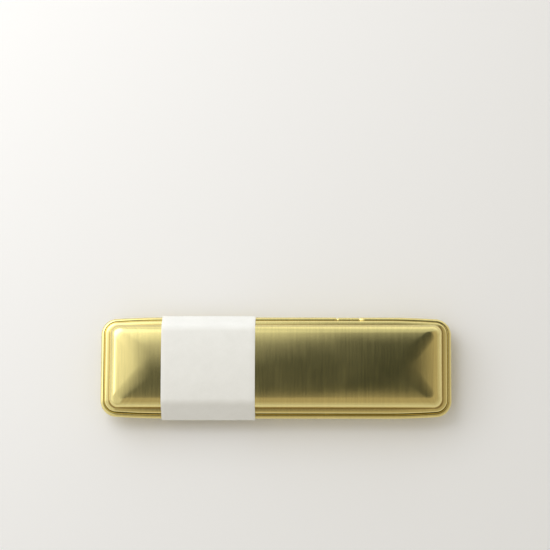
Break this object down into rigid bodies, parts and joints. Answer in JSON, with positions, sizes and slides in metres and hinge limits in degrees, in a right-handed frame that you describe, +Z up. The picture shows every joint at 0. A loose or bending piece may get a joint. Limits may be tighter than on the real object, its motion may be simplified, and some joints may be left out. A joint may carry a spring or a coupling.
{
  "type": "pen case",
  "caption": "Hinged pen case pressed from brass sheet, with a rolled bead, a stepped and crowned lid, and a plain paper band over the lid.",
  "frame": {"origin": "middle of the case's outline, on the plane that its foot stands on", "axes": "+X along the case, to the right as seen from the opening side; +Y towards the hinges at the back; +Z up through the lid"},
  "size_m": [0.194, 0.0578, 0.022],
  "materials": {
    "brass_shell": "satin",
    "brass_hinge": "polished",
    "white_paper": "matte"
  },
  "bodies": {
    "base": {"base_shell": "brass_shell", "hinge_leaf_left": "brass_hinge", "hinge_leaf_right": "brass_hinge", "hinge_pin_left": "brass_hinge", "hinge_pin_right": "brass_hinge", "hinge_rivet_left_1": "brass_hinge", "hinge_rivet_left_2": "brass_hinge", "hinge_rivet_right_1": "brass_hinge", "hinge_rivet_right_2": "brass_hinge"},
    "lid": {"lid_shell": "brass_shell"},
    "band": {"paper_band": "white_paper"}
  },
  "joints": [
    {"name": "lid_hinge", "type": "hinge", "parent": "base", "child": "lid", "pos_m": [0, 0.02675, 0.009], "axis": [-1, 0, 0], "range_deg": [0, 110]},
    {"name": "band_slide", "type": "slide", "parent": "lid", "child": "band", "axis": [-1, 0, 0], "range_m": [0, 0.09]}
  ]
}
